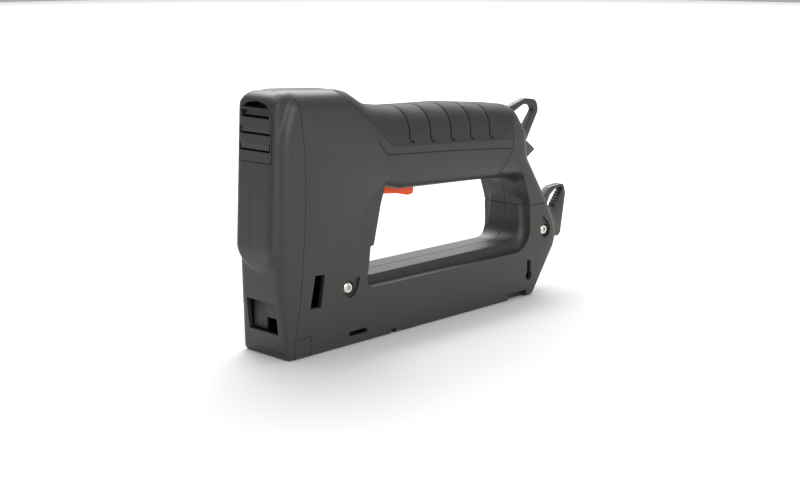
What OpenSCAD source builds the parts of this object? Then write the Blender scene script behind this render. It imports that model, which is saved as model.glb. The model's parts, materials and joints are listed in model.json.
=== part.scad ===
// Cordless staple gun with a closed-loop body, modelled as its separate pieces.
// The nose points along -X and the tail along +X. The tool stands on z = 0.
// The origin is under the middle of the overall length, on the base.
// Side outlines are drawn as [distance behind the nose face, height].

/* [Body] */
// Width across the two flat sides
body_w = 36; // [34:0.5:44]
// Distance from the nose face to the rearmost point of the strut
body_len = 224.5; // [218:0.5:270]
// Height of the nose above the base
nose_h = 137; // [130:0.5:165]
// Depth of the nose at its top, from face to the start of the handle slope
nose_top_d = 44; // [40:0.5:50]
// How far the raised front pad stands out of the nose face
pad_out = 7.5; // [5:0.5:9]
// Wall of the moulded shells
wall = 2.4; // [2:0.1:3]
// Radius of the body's long edges
edge_r = 7; // [4:0.5:9]

/* [Handle] */
// Height of the handle's top behind the nose
handle_top = 123; // [118:0.5:128]
// How much lower the handle's top is at the tail end
handle_drop = 6; // [4:0.5:8]
// Depth of the handle from its top to its underside
handle_h = 44.5; // [42:0.5:46]
// Thickness of the soft grip
grip_t = 3; // [2:0.25:3.5]

/* [Lower arm] */
// Height of the flat floor of the finger opening
floor_h = 34; // [32:0.5:37]
// Drop from that floor to the crease on the sides
crease_drop = 5; // [3:0.5:6]
// Half width of the inner rim around the finger opening
rim_half = 12; // [11:0.25:13]
// Distance from the nose face to the front wall of the finger opening
open_front = 60; // [59:0.5:66]
// Thickness of the rear strut along the tool
strut_t = 35; // [31:0.5:38]

/* [Trigger] */
// Width of the trigger
trigger_w = 12; // [9:0.5:14]
// Angle that the trigger is pulled through
trigger_pull = 6; // [4:0.5:7]
// Radius of the trigger's pivot pin
trigger_pin_r = 1.5; // [1.2:0.1:2]

/* [Solenoid drive] */
// Radius of the moving plunger
plunger_r = 5.9; // [5:0.1:6.5]
// Outer radius of the copper winding
winding_r = 12; // [10:0.25:12.5]
// Length of the winding between the bobbin's flanges
winding_h = 38; // [30:1:40]
// Travel of the driver blade
blade_travel = 14; // [10:0.5:14]
// Thickness of the driver blade
blade_t = 1.2; // [0.8:0.1:1.4]
// Width of the driver blade
blade_w = 10.6; // [9:0.1:11.5]

/* [Magazine] */
// Outer width of the magazine channel
mag_w = 16; // [15:0.25:18]
// Outer height of the magazine channel
mag_h = 15; // [14:0.25:16]
// Height of the staple legs
staple_leg = 10; // [6:0.5:10]
// Length of the strip of staples
staple_strip_len = 46; // [20:1:60]

/* [Fasteners] */
// Radius of the housing screws' heads
screw_head_r = 3.3; // [2.8:0.1:4]
// Radius of the housing screws' shanks
screw_r = 1.5; // [1.2:0.1:2]

/* [Clearances] */
// Radial clearance of a running shaft
run_fit = 0.06; // [0.02:0.01:0.09]
// Gap between moving faces that pass each other
slip = 0.4; // [0.3:0.05:0.6]

/* [Hidden] */
$fn = 48;

// Colours of the materials
moulded = "#4c4b48";
soft = "#3f3e3b";
accent = "#e45c32";
steel = "#a9aaac";
bright = "#dcdacb";

half_w = body_w / 2;
eps = 0.01;

// Seam between the front cover and the shells
seam_x = 11;

// Rear outline: foot, widest point, waist and handle end
foot_x = body_len - 28;
tail_z = floor_h - 1;
end_x = body_len - 31;
end_z = floor_h + 52;
handle_end_top = handle_top - handle_drop;
handle_start_x = nose_top_d + 40;

// The latch reaches furthest back, so the overall length ends there
latch_reach = 23.5;
x_min = -pad_out;
x_max = body_len + latch_reach;
mid_x = (x_min + x_max) / 2;

// Finger opening: inner rim outline
open_top_front = handle_top - handle_h;
open_top_rear = open_top_front - handle_drop * 0.7;
open_rear = body_len - strut_t;

// Move from the nose face to the part's origin
module seat() {
  translate([-mid_x, 0, 0]) children();
}

// Extrude a side outline between two values of y
module slab(y0, y1) {
  translate([0, y1, 0]) rotate([90, 0, 0]) linear_extrude(y1 - y0) children();
}

// Cylinder along y between two values of y
module cross_cyl(x, z, r, y0, y1) {
  translate([x, y0, z]) rotate([-90, 0, 0]) cylinder(r = r, h = y1 - y0);
}

// Round the outward corners of an outline
module round_out(r) {
  offset(r) offset(delta = -r) children();
}

// Round the inward corners of an outline
module round_in(r) {
  offset(delta = -r) offset(r) children();
}

// Helical spring along +Z: mean radius, wire radius, length and number of turns
module coil_spring(r, wire, len, turns) {
  around = 5;
  per_turn = 10;
  steps = turns * per_turn;
  ring = [for (s = [0:steps]) for (a = [0:around - 1])
    let (turn = 360 * s / per_turn, side = 360 * a / around,
         reach = r + wire * cos(side))
    [reach * cos(turn), reach * sin(turn), wire + (len - 2 * wire) * s / steps + wire * sin(side)]];
  sides = [for (s = [0:steps - 1]) for (a = [0:around - 1]) for (half = [0, 1])
    let (b = (a + 1) % around, low = s * around, high = (s + 1) * around)
    half == 0 ? [low + a, high + a, high + b] : [low + a, high + b, low + b]];
  first = [for (a = [0:around - 1]) a];
  last = [for (a = [around - 1:-1:0]) steps * around + a];
  polyhedron(points = ring, faces = concat(sides, [first, last]), convexity = 12);
}

// ---- Outlines seen from the side ----

module body_outline() {
  round_in(12) round_out(5) polygon([
    [0, 0], [foot_x, 0], [body_len, tail_z],
    [body_len - 9.5, floor_h + 20], [body_len - 22, floor_h + 41],
    [end_x, end_z], [end_x - 2, handle_end_top - 11],
    [end_x - 15, handle_end_top], [handle_start_x, handle_top],
    [nose_top_d + 20, handle_top + 3], [nose_top_d, nose_h - 2.5],
    [5, nose_h], [-2, nose_h - 11], [-pad_out + 1, nose_h - 37],
    [-pad_out, nose_h - 54], [-pad_out + 1, nose_h - 80], [-3.5, 47], [-2.5, 27]]);
}

// Inner rim of the finger opening
module finger_outline(grow = 0) {
  offset(grow) round_out(14) polygon([
    [open_front - 1, floor_h], [open_rear - 12, floor_h],
    [open_rear, floor_h + 16], [open_rear - 12, open_top_rear],
    [open_front + 34, open_top_front - 0.5], [open_front + 9, open_top_front + 3],
    [open_front + 1, floor_h + 15]]);
}

// The opening is wider at the body's sides, below and behind it
module crease_outline() {
  round_out(12) polygon([
    [open_front - 3, floor_h - crease_drop], [open_rear - 16, floor_h - crease_drop],
    [open_rear + 2, floor_h + 3], [open_rear + 4, floor_h + 22],
    [open_rear - 12, open_top_rear + 2],
    [open_front + 34, open_top_front - 0.5], [open_front + 9, open_top_front + 3],
    [open_front + 1, floor_h + 15]]);
}

// Area that the soft grip covers
module grip_area(shrink = 0) {
  offset(delta = -shrink) polygon([
    [nose_top_d - 6, nose_h + 4], [nose_top_d + 30, handle_top - 18.5],
    [end_x - 18, handle_end_top - 18.5], [end_x - 17, handle_end_top - 7],
    [end_x - 24, handle_end_top + 8]]);
}

// Layers that step the body's long edges round, as depths below the flat sides
edge_depths = [0, edge_r * 0.12, edge_r * 0.4, edge_r * 0.9];

// How far a circle of the edge's radius draws in at a depth below the side
function edge_inset(depth) = edge_r - sqrt(edge_r * edge_r - pow(edge_r - depth, 2));

// Side outline drawn in all round, except along the base, which stays flat to its edge
module drawn_in(inset, margin) {
  intersection() {
    offset(delta = -inset - margin) union() {
      body_outline();
      translate([0, -inset - margin - 2]) body_outline();
    }
    translate([-100, margin]) square([body_len + 200, nose_h + 10]);
  }
}

// Outer form of the body with the finger opening, drawn in by a margin
module body_form(margin = 0) {
  difference() {
    for (depth = edge_depths)
      slab(-half_w + depth + margin, half_w - depth - margin)
        drawn_in(edge_inset(depth + edge_r * 0.08), margin);
    slab(-half_w - 1, half_w + 1) finger_outline(margin);
    if (margin == 0) {
      slab(-half_w - 1, -rim_half) crease_outline();
      slab(rim_half, half_w + 1) crease_outline();
    }
    if (margin > 0)
      slab(-half_w - 1, half_w + 1) offset(margin) crease_outline();
  }
}

// ---- Places shared by pieces that fit each other ----

screw_x = [43.2, body_len - 16.3];
screw_z = [31, floor_h + 4.6];
head_sink = 1.1;
head_t = 2.2;
head_gap = 0.3;
shank_gap = 0.1;
screw_tip = 7;
key_depth = 1.2;
boss_wall = 1.6;

// Drive line: plunger axis, blade plane and the solenoid's levels
drive_x = 20;
blade_x = 9;
yoke_t = 3;
yoke_half = winding_r + 1;
flange_t = 1.5;
yoke_top = nose_h - 14;
coil_top = yoke_top - yoke_t - flange_t;
coil_base = coil_top - winding_h;
yoke_base = coil_base - flange_t - yoke_t;
plunger_top = coil_top - blade_travel * 0.6;
bobbin_wall = 1.4;
holder_top = yoke_base - 2;
holder_h = 9;
blade_seat = 2;
bumper_h = 4;
bumper_half = 9;
bumper_gap = 0.3;
return_r = 4.4;
return_wire = 0.6;
plunger_base = holder_top - holder_h;
blade_base = staple_leg + 5.5;
stop_z = plunger_base - blade_travel - 3;

// Magazine: floor clearance and ends
mag_lift = 0.4;
mag_front = seam_x + 0.6;
mag_rear = foot_x - 3;
mag_wall = 1.2;
strip_front = blade_x + blade_t / 2 + slip;
pusher_x = strip_front + staple_strip_len + slip;
pusher_l = 12;
rod_z = mag_lift + 8;
rod_r = 1.5;
crown_w = 10.6;
crown_wire = 1.2;

// Trigger pivot and the switch above it
pivot_x = open_front + 11;
pivot_z = open_top_front + 4;
contact_reach = 22;
switch_z = pivot_z + 7;
switch_size = [20, 8, 9];
contact_r = 1.5;
trigger_len = 33;
spring_x = pivot_x + 29;
pivot_boss = 2.2;
pin_short = 0.5;

// Latch pivot
latch_x = body_len - 5;
latch_z = floor_h + 2;
latch_half = 2.6;
latch_pin_r = 1.5;
latch_boss_r = 3.6;

// Cells in the handle
cell_r = 7;
cell_l = 50;
cell_x = pivot_x + 45;
cell_low_z = open_top_rear + 13.9;
cell_gap = 0.6;
holder_wall = 1;

// Charging socket on the left side
socket_x = body_len - 26;
socket_z = floor_h + 32;
socket_r = 4;
jack_r = 2.8;

// Control board behind the solenoid
board_x = open_front - 11;

// Shutter behind the window in the nose
shutter_x = 1.8;
shutter_t = 1.8;
shutter_spring_y = 6;
notch_side = 1;
notch_top = 20.2;

// Half widths of the hanging loop and the staple lifter
loop_half = 2.2;
lifter_half = 3.6;

// ---- Cuts in the shells ----

module screw_bores() {
  for (i = [0, 1]) {
    cross_cyl(screw_x[i], screw_z[i], screw_r + shank_gap, -half_w - 1, half_w - screw_tip + 1);
    cross_cyl(screw_x[i], screw_z[i], screw_head_r + head_gap, -half_w - 1, -half_w + head_sink + head_t);
  }
}

module screw_bosses() {
  for (i = [0, 1])
    cross_cyl(screw_x[i], screw_z[i], screw_head_r + boss_wall, -half_w + wall / 2, half_w - wall / 2);
}

module magazine_way() {
  way = mag_w / 2 + slip;
  slab(-way, way) polygon([[0, -1], [body_len, -1], [body_len, mag_h + mag_lift + slip],
    [0, mag_h + mag_lift + slip]]);
}

module side_cuts() {
  // slanted slot in the nose side
  slab(-half_w - 1, -half_w + wall + 1)
    polygon([[15, 25], [22.5, 24.6], [25.3, 41.4], [18.8, 42]]);
  // keyhole near the rear foot
  slab(-half_w - 1, -half_w + wall + 1) translate([body_len - 32, 12.5]) {
    circle(r = 2.6);
    translate([-1.8, 0]) square([3.6, 9.5]);
  }
  // slots along the lower edge
  slab(-half_w - 1, -half_w + wall + 1) {
    translate([42.4, 4.9]) square([13, 2.6]);
    translate([73.6, -1]) square([3.9, 3.6]);
    translate([foot_x - 23, -1]) square([17, 5.2]);
  }
}

module trigger_slot() {
  slab(-trigger_w / 2 - slip, trigger_w / 2 + slip)
    polygon([[pivot_x - 4, pivot_z - 12], [pivot_x + trigger_len + 1.5, pivot_z - 12],
      [pivot_x + trigger_len + 1.5, pivot_z + 6], [pivot_x - 4, pivot_z + 6]]);
}

module latch_slot() {
  reach = latch_half + slip;
  slab(-reach, reach)
    translate([latch_x - 12.4, latch_z - 10]) square([40, 34]);
}

module socket_hole() {
  cross_cyl(socket_x, socket_z, socket_r + 0.1, half_w - 9, half_w + 1);
}

// ---- Shells and covers ----

// Hollow inside the shells, with a wall left under the soft grip as well
module hollow() {
  body_form(grip_t + wall);
  difference() {
    body_form(wall);
    slab(-half_w - 1, half_w + 1) grip_area(-wall);
  }
}

module shell_walls() {
  difference() {
    union() {
      difference() {
        body_form();
        hollow();
      }
      intersection() {
        body_form();
        union() {
          screw_bosses();
          // trigger pivot bosses
          for (side = [-1, 1])
            cross_cyl(pivot_x, pivot_z, trigger_pin_r + pivot_boss,
              side > 0 ? trigger_w / 2 + slip : -half_w + wall / 2,
              side > 0 ? half_w - wall / 2 : -trigger_w / 2 - slip);
          // latch pivot bosses
          for (side = [-1, 1])
            cross_cyl(latch_x, latch_z, latch_boss_r,
              side > 0 ? latch_half + slip : -half_w + wall / 2,
              side > 0 ? half_w - wall / 2 : -latch_half - slip);
          // rib that the latch's spring pushes against
          slab(-half_w + wall / 2, half_w - wall / 2)
            translate([latch_x - 15.6, latch_z - 11]) square([3, 9.5]);
        }
      }
    }
    translate([-50, -50, -50]) cube([50 + seam_x, 100, nose_h + 100]);
    grip_shape();
    magazine_way();
    trigger_slot();
    latch_slot();
    cross_cyl(pivot_x, pivot_z, trigger_pin_r, -half_w + wall, half_w - wall);
    cross_cyl(latch_x, latch_z, latch_pin_r, -half_w + wall, half_w - wall);
    screw_bores();
  }
}

module shell_right() {
  color(moulded) seat() difference() {
    shell_walls();
    translate([-10, 0, -1]) cube([body_len + 60, body_w, nose_h + 10]);
    side_cuts();
  }
}

module shell_left() {
  color(moulded) seat() difference() {
    shell_walls();
    translate([-10, -body_w, -1]) cube([body_len + 60, body_w, nose_h + 10]);
    socket_hole();
  }
}

// Window and vent opening share one frontal shape each
window_half = 11.4;
window_low = 13;
window_top = 29.5;
shelf_z = window_top + 19;
vent_half = 12.8;
vent_low = nose_h - 36;
vent_top = nose_h - 6.5;
vent_arch_r = 16;
louvre_pitch = 8.3;
louvre_h = 3.4;

module vent_shape(gap = 0) {
  translate([-20, 0, 0]) rotate([90, 0, 90]) linear_extrude(20 + seam_x) intersection() {
    translate([-vent_half + gap, vent_low + gap])
      square([2 * (vent_half - gap), vent_top - vent_low]);
    translate([0, vent_top - vent_arch_r]) union() {
      circle(r = vent_arch_r - gap);
      translate([-vent_half, -40]) square([2 * vent_half, 40]);
    }
  }
}

// Rails beside the shutter and the shelf above its spring
module shutter_guides() {
  for (side = [-1, 1])
    translate([-1, side > 0 ? window_half : -window_half - 1.6, window_low])
      cube([6, 1.6, 36]);
  translate([-6, 2.5, shelf_z]) cube([11, 7, 1.8]);
}

module front_cover() {
  color(moulded) seat() difference() {
    intersection() {
      union() {
        difference() {
          body_form();
          body_form(wall);
        }
        intersection() {
          body_form();
          shutter_guides();
        }
      }
      translate([-50, -50, -50]) cube([50 + seam_x, 100, nose_h + 100]);
    }
    translate([-20, -window_half, window_low])
      cube([24, 2 * window_half, window_top - window_low]);
    vent_shape();
    // slot under the nose for the staple to leave
    translate([blade_x - 3, -mag_w / 2, -1]) cube([8, mag_w, 6]);
  }
}

module vent_insert() {
  color(moulded) seat() difference() {
    intersection() {
      difference() {
        body_form(0.4);
        body_form(wall + 0.6);
      }
      vent_shape(0.1);
    }
    for (i = [0:2])
      translate([-20, -vent_half + 2, vent_low + 6 + i * louvre_pitch])
        cube([40, 2 * vent_half - 4 - (i == 2 ? 3 : 0), louvre_h]);
  }
}

// Shell of the soft grip before its grooves
module grip_shape() {
  intersection() {
    difference() {
      body_form();
      body_form(grip_t);
    }
    slab(-half_w - 1, half_w + 1) grip_area();
  }
}

module grip_cover() {
  color(soft) seat() difference() {
    grip_shape();
    // grooves between the ribs
    for (i = [0:4])
      translate([nose_top_d + 46 + 17.4 * i, 0, handle_top])
        rotate([0, 8, 0]) cube([0.9, body_w - 1.2, 9], center = true);
  }
}

module loop_outline() {
  round_out(2.5) polygon([
    [end_x - 6, end_z + 4], [end_x + 8, end_z - 1], [end_x + 26, end_z + 24],
    [end_x + 23, end_z + 30], [end_x + 13, end_z + 32.5], [end_x - 1, end_z + 28],
    [end_x - 6, end_z + 20]]);
}

module hang_loop() {
  color(moulded) seat() slab(-loop_half, loop_half) difference() {
    loop_outline();
    round_out(1.5) polygon([
      [end_x + 5, end_z + 8], [end_x + 20.5, end_z + 26], [end_x + 12, end_z + 29],
      [end_x + 2, end_z + 24]]);
    offset(delta = eps) body_outline();
  }
}

module staple_lifter() {
  color(moulded) seat() difference() {
    slab(-lifter_half, lifter_half) polygon([
      [end_x - 1.5, end_z - 5.5], [end_x + 12, end_z - 4.5], [end_x + 25, end_z + 0.5],
      [end_x + 13, end_z + 5.5], [end_x - 1.5, end_z - 0.5]]);
    slab(-half_w, half_w) offset(delta = eps) body_outline();
    slab(-lifter_half - 1, lifter_half + 1) loop_outline();
  }
}

module shell_screws() {
  color(bright) seat() for (i = [0, 1])
    difference() {
      union() {
        cross_cyl(screw_x[i], screw_z[i], screw_head_r, -half_w + head_sink, -half_w + head_sink + head_t);
        cross_cyl(screw_x[i], screw_z[i], screw_r, -half_w + head_sink + head_t - eps, half_w - screw_tip);
      }
      // hexagonal key socket
      translate([screw_x[i], -half_w, screw_z[i]]) rotate([-90, 0, 0])
        cylinder(r = screw_r, h = head_sink + key_depth, $fn = 6);
    }
}

// ---- Trigger and switch ----

module trigger() {
  color(accent) seat() difference() {
    slab(-trigger_w / 2, trigger_w / 2) round_out(1.2) polygon([
      [pivot_x - 3, pivot_z - 3], [pivot_x + 4, pivot_z - 8.3],
      [pivot_x + trigger_len - 1, pivot_z - 10.4], [pivot_x + trigger_len, pivot_z - 4],
      [pivot_x + trigger_len - 3, pivot_z - 0.5], [pivot_x + 3, pivot_z + 3],
      [pivot_x - 3, pivot_z + 3]]);
    cross_cyl(pivot_x, pivot_z, trigger_pin_r + run_fit, -half_w, half_w);
  }
}

module trigger_pin() {
  color(steel) seat()
    cross_cyl(pivot_x, pivot_z, trigger_pin_r, -half_w + wall + pin_short, half_w - wall - pin_short);
}

module trigger_spring() {
  color(steel) seat() translate([spring_x, 0, pivot_z])
    coil_spring(2.2, 0.35, switch_z - pivot_z - 0.1, 5);
}

module switch_body() {
  color(soft) seat() difference() {
    translate([pivot_x + 13, -switch_size.y / 2, switch_z]) cube(switch_size);
    translate([pivot_x + contact_reach, 0, switch_z - 1])
      cylinder(r = contact_r + run_fit, h = 6.5);
  }
}

module switch_plunger() {
  color(accent) seat() translate([pivot_x + contact_reach, 0, 0])
    translate([0, 0, pivot_z + 1.6]) cylinder(r = contact_r, h = switch_z - pivot_z + 0.2);
}

// ---- Solenoid drive ----

module solenoid_yoke() {
  color(steel) seat() difference() {
    translate([drive_x - yoke_half, -8, yoke_base])
      cube([2 * yoke_half + yoke_t, 16, yoke_top - yoke_base]);
    translate([drive_x - yoke_half - 1, -9, coil_base - flange_t])
      cube([2 * yoke_half + 1, 18, winding_h + 2 * flange_t]);
    translate([drive_x, 0, yoke_base - 1]) cylinder(r = plunger_r + 0.6, h = yoke_t + 2);
  }
}

module coil_bobbin() {
  color("#c9c4b0") seat() translate([drive_x, 0, coil_base - flange_t]) difference() {
    union() {
      cylinder(r = winding_r, h = flange_t);
      cylinder(r = plunger_r + bobbin_wall, h = winding_h + 2 * flange_t);
      translate([0, 0, winding_h + flange_t]) cylinder(r = winding_r, h = flange_t);
    }
    translate([0, 0, -1]) cylinder(r = plunger_r + run_fit, h = winding_h + 2 * flange_t + 2);
  }
}

module coil_winding() {
  color("#b4652f") seat() translate([drive_x, 0, coil_base]) difference() {
    cylinder(r = winding_r - 0.4, h = winding_h);
    translate([0, 0, -1]) cylinder(r = plunger_r + bobbin_wall, h = winding_h + 2);
  }
}

module solenoid_plunger() {
  color(steel) seat() translate([drive_x, 0, holder_top])
    cylinder(r = plunger_r, h = plunger_top - holder_top);
}

module blade_holder() {
  color(soft) seat() difference() {
    translate([blade_x - 3, -blade_w / 2 - 1.5, holder_top - holder_h])
      cube([drive_x + plunger_r - blade_x + 3, blade_w + 3, holder_h]);
    translate([blade_x - blade_t / 2, -blade_w / 2, holder_top - holder_h - 1])
      cube([blade_t, blade_w, holder_h + 1 - blade_seat]);
  }
}

module driver_blade() {
  color(steel) seat() translate([blade_x - blade_t / 2, -blade_w / 2, blade_base])
    cube([blade_t, blade_w, holder_top - blade_seat - blade_base]);
}

module return_spring() {
  color(steel) seat() translate([drive_x, 0, stop_z])
    coil_spring(return_r, return_wire, plunger_base - stop_z, 6);
}

module upper_bumper() {
  color(soft) seat() translate([drive_x, 0, plunger_top + bumper_gap])
    cylinder(r = plunger_r - slip, h = yoke_top - yoke_t - plunger_top - bumper_gap);
}

module lower_bumper() {
  color(soft) seat() difference() {
    translate([blade_x + 3, -bumper_half, stop_z - bumper_h])
      cube([drive_x - blade_x + 5, 2 * bumper_half, bumper_h]);
    translate([blade_x - 1, -blade_w / 2 - slip, stop_z - bumper_h - 1])
      cube([3, blade_w + 2 * slip, bumper_h + 2]);
  }
}

// ---- Nose ----

module nose_plate() {
  color(steel) seat() difference() {
    translate([blade_x - blade_t / 2 - slip - 1.4, 0, 0]) {
      translate([0, -10, wall + 0.2]) cube([1.4, 20, stop_z - 7]);
      translate([0, -7, 0.6]) cube([1.4, 14, wall]);
    }
    // cut-out behind the window for clearing a jam
    translate([0, -5.5, window_low + 3]) cube([blade_x, 11, 11]);
  }
}

module jam_shutter() {
  color(moulded) seat() translate([shutter_x, 0, 0]) difference() {
    translate([0, -window_half + 0.3, window_low + 0.5])
      cube([shutter_t, 2 * window_half - 0.6, window_top - window_low + 5]);
    // notch for a fingertip or a tool
    translate([-1, -window_half - 1, window_low - 1])
      cube([4, window_half + 1 + notch_side, notch_top - window_low + 1]);
    translate([-0.5, -window_half, window_low + 10.4]) cube([0.8, 2 * window_half, 0.7]);
  }
}

module shutter_spring() {
  color(steel) seat() translate([shutter_x + shutter_t / 2, shutter_spring_y, window_top + 5.6])
    coil_spring(1.4, 0.3, shelf_z - window_top - 5.7, 8);
}

// ---- Magazine ----

module magazine_channel() {
  color(steel) seat() difference() {
    translate([mag_front, -mag_w / 2, mag_lift]) cube([mag_rear - mag_front, mag_w, mag_h]);
    translate([mag_front - 1, -mag_w / 2 + mag_wall, mag_lift + mag_wall])
      cube([mag_rear - mag_front - 1, mag_w - 2 * mag_wall, mag_h]);
    translate([mag_rear - 4, 0, rod_z]) rotate([0, 90, 0]) cylinder(r = rod_r, h = 8);
  }
}

// Block that closes the magazine's way at the foot, shaped to the tail
module magazine_end() {
  color(soft) seat() slab(-mag_w / 2, mag_w / 2) intersection() {
    offset(delta = -slip) body_outline();
    translate([mag_rear, mag_lift]) square([body_len - mag_rear, mag_h]);
  }
}

module magazine_bar() {
  color(steel) seat() translate([mag_front, -4, mag_lift + mag_wall])
    cube([staple_strip_len - 2, 8, staple_leg - 3.4]);
}

module staple_strip() {
  inner = crown_w - 2 * crown_wire;
  color(bright) seat() translate([mag_front, 0, mag_lift + mag_wall + 0.2]) difference() {
    translate([0, -crown_w / 2, 0]) cube([staple_strip_len - 2, crown_w, staple_leg]);
    translate([-1, -inner / 2, -1]) cube([staple_strip_len, inner, staple_leg + 1 - crown_wire]);
  }
}

module pusher() {
  color(accent) seat() difference() {
    translate([pusher_x, -mag_w / 2 + mag_wall + slip, mag_lift + mag_wall + slip])
      cube([pusher_l, mag_w - 2 * (mag_wall + slip), mag_h - mag_wall - 2 * slip]);
    translate([pusher_x - 1, 0, rod_z]) rotate([0, 90, 0])
      cylinder(r = rod_r + run_fit, h = pusher_l + 2);
  }
}

module pusher_rod() {
  color(steel) seat() translate([pusher_x - 0.3, 0, rod_z]) rotate([0, 90, 0])
    cylinder(r = rod_r, h = mag_rear - pusher_x - 0.3);
}

module pusher_spring() {
  color(steel) seat() translate([pusher_x + pusher_l + 0.1, 0, rod_z]) rotate([0, 90, 0])
    coil_spring(2.9, 0.4, mag_rear - 2 - pusher_x - pusher_l - 0.3, 14);
}

module magazine_latch() {
  color(moulded) seat() slab(-latch_half, latch_half) difference() {
    round_out(2) polygon([
      [latch_x - 6, latch_z - 8], [latch_x + 22, latch_z - 8],
      [latch_x + 28.5, latch_z + 20], [latch_x + 24, latch_z + 25.5],
      [latch_x + 13, latch_z + 24.5], [latch_x + 1, latch_z + 16], [latch_x - 6, latch_z + 4]]);
    round_out(0.8) polygon([
      [latch_x + 9.5, latch_z + 13.5], [latch_x + 13, latch_z + 10.8],
      [latch_x + 17, latch_z + 11], [latch_x + 25.6, latch_z + 21.6],
      [latch_x + 23.5, latch_z + 23.4], [latch_x + 18, latch_z + 22.8],
      [latch_x + 12.5, latch_z + 19.5]]);
    translate([latch_x, latch_z]) circle(r = latch_pin_r + run_fit);
  }
}

module latch_pin() {
  color(steel) seat()
    cross_cyl(latch_x, latch_z, latch_pin_r, -half_w + wall + pin_short, half_w - wall - pin_short);
}

module latch_spring() {
  color(steel) seat() translate([latch_x - 12.5, 0, latch_z - 5]) rotate([0, 90, 0])
    coil_spring(2, 0.35, 6.4, 5);
}

// ---- Electrics ----

module battery_cells() {
  color("#3f6f9c") seat() for (i = [0, 1])
    translate([cell_x, 0, cell_low_z + i * (2 * cell_r + cell_gap)]) rotate([0, 90, 0])
      cylinder(r = cell_r, h = cell_l);
}

module battery_holder() {
  side = 2 * cell_r;
  color(soft) seat() difference() {
    translate([cell_x - 2, -cell_r - 1, cell_low_z - cell_r - holder_wall])
      cube([cell_l + 4, side + 2, 2 * (side + holder_wall) + cell_gap]);
    translate([cell_x, -cell_r - 2, cell_low_z - cell_r])
      cube([cell_l, side + 2, 2 * side + cell_gap]);
  }
}

module control_board() {
  color("#2f6b45") seat() {
    translate([board_x, -11, floor_h + 6]) cube([1.6, 22, 40]);
    translate([board_x - 4, -7, floor_h + 30]) cube([4, 14, 9]);
  }
}

module capacitor() {
  color("#2c3e66") seat() translate([board_x - 12, 0, floor_h + 4]) cylinder(r = 8, h = 24);
}

module charge_socket() {
  color(soft) seat() difference() {
    cross_cyl(socket_x, socket_z, socket_r, half_w - 8, half_w - 0.5);
    cross_cyl(socket_x, socket_z, jack_r, half_w - 6.5, half_w);
  }
}

shell_right();
shell_left();
front_cover();
vent_insert();
grip_cover();
hang_loop();
staple_lifter();
shell_screws();
trigger();
trigger_pin();
trigger_spring();
switch_body();
switch_plunger();
solenoid_yoke();
coil_bobbin();
coil_winding();
solenoid_plunger();
blade_holder();
driver_blade();
return_spring();
upper_bumper();
lower_bumper();
nose_plate();
jam_shutter();
shutter_spring();
magazine_channel();
magazine_end();
magazine_bar();
staple_strip();
pusher();
pusher_rod();
pusher_spring();
magazine_latch();
latch_pin();
latch_spring();
battery_cells();
battery_holder();
control_board();
capacitor();
charge_socket();
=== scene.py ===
"""Cordless staple gun: its visible mouldings and finishes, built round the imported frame.

Pieces are drawn in millimetres, with x measured back from the nose face, y across the
tool and z up from the base. Each finished piece is then settled into the frame in metres.
"""

import json
import logging
import math
from collections.abc import Iterator, Sequence
from contextlib import contextmanager
from dataclasses import dataclass, field
from enum import Enum
from itertools import pairwise

import bmesh
import bpy
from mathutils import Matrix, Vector
from mathutils.kdtree import KDTree

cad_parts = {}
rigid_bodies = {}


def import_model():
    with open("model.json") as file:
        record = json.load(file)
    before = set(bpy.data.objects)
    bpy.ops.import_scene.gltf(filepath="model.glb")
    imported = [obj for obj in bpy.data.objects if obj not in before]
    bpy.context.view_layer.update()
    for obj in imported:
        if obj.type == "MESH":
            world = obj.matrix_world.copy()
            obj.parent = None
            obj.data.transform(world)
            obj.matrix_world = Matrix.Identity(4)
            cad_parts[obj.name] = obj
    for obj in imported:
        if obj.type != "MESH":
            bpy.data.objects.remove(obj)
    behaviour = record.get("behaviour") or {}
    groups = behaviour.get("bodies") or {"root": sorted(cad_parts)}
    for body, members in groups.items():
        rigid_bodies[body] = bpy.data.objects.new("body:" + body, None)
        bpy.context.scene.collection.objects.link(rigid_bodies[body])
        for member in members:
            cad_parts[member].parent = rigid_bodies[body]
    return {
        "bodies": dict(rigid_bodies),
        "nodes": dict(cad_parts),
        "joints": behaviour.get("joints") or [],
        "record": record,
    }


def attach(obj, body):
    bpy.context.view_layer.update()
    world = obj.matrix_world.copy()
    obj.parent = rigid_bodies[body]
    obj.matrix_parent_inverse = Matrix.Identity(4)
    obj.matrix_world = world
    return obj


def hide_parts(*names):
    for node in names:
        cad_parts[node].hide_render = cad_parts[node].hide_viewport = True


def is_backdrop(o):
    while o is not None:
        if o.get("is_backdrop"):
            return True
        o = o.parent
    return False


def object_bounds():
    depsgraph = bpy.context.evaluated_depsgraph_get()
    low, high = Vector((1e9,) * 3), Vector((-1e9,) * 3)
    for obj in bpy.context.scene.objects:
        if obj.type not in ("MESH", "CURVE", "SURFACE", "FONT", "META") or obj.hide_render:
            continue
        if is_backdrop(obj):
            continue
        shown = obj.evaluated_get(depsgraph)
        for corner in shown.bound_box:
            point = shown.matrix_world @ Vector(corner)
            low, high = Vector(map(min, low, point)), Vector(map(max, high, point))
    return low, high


log = logging.getLogger("staple_gun")
MM = 0.001
PAD_OUT = 0.0075  # how far the nose pad stands in front of the nose face


# ---------------------------------------------------------------- modelling tools


class Way(Enum):
    """How a tool solid acts on the piece that it meets."""

    JOIN = "UNION"
    TAKE = "DIFFERENCE"
    KEEP = "INTERSECT"


class Axis(Enum):
    """The direction that a flat outline is extruded along."""

    X = 0
    Y = 1
    Z = 2


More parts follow.
